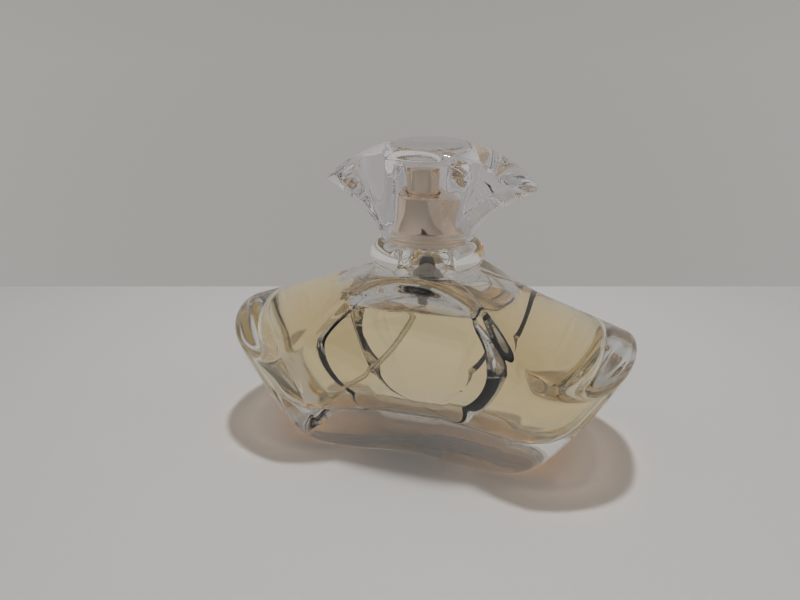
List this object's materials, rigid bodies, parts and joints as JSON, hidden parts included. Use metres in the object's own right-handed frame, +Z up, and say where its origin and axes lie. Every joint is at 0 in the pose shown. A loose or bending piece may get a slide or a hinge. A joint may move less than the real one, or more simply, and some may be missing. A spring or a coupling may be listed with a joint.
{
  "type": "perfume bottle",
  "caption": "Fan-shaped thick clear glass perfume bottle holding pale yellow perfume, with a crimped gold spray pump and a clear pleated fan overcap.",
  "frame": {"origin": "middle of the flat base, on the surface that the bottle stands on", "axes": "+Z up along the neck, +X along the longer side, -Y out of the front face"},
  "size_m": [0.0986, 0.0446, 0.073],
  "materials": {
    "clear_glass": "gloss",
    "perfume": "gloss",
    "clear_plastic": "gloss",
    "gold_metal": "polished",
    "aluminium": "satin",
    "steel": "satin",
    "natural_plastic": "satin",
    "dark_rubber": "matte"
  },
  "bodies": {
    "bottle": {"bottle_glass": "clear_glass", "perfume": "perfume", "neck_gasket": "dark_rubber", "ferrule_cup": "aluminium", "ferrule_collar": "gold_metal", "pump_housing": "natural_plastic", "stem_seal": "dark_rubber", "stem_guide": "natural_plastic", "dip_tube": "natural_plastic", "return_spring": "steel", "intake_seal": "dark_rubber"},
    "plunger": {"stem": "natural_plastic", "piston": "natural_plastic"},
    "actuator": {"actuator_core": "natural_plastic", "actuator_shell": "gold_metal", "nozzle_insert": "natural_plastic"},
    "ball": {"inlet_ball": "steel"},
    "cap": {"overcap": "clear_plastic"}
  },
  "joints": [
    {"name": "overcap_lift", "type": "slide", "parent": "bottle", "child": "cap", "axis": [0, 0, 1], "range_m": [0, 0.03]},
    {"name": "actuator_press", "type": "slide", "parent": "bottle", "child": "plunger", "axis": [0, 0, -1], "range_m": [0, 0.0036], "stiffness_N_per_m": 1400, "springref_m": -0.003, "deforming": ["return_spring"]},
    {"name": "actuator_swivel", "type": "hinge", "parent": "plunger", "child": "actuator", "pos_m": [0, 0, 0.0625], "axis": [0, 0, 1], "continuous": true},
    {"name": "inlet_ball_lift", "type": "slide", "parent": "bottle", "child": "ball", "axis": [0, 0, 1], "range_m": [0, 0.00025]}
  ]
}
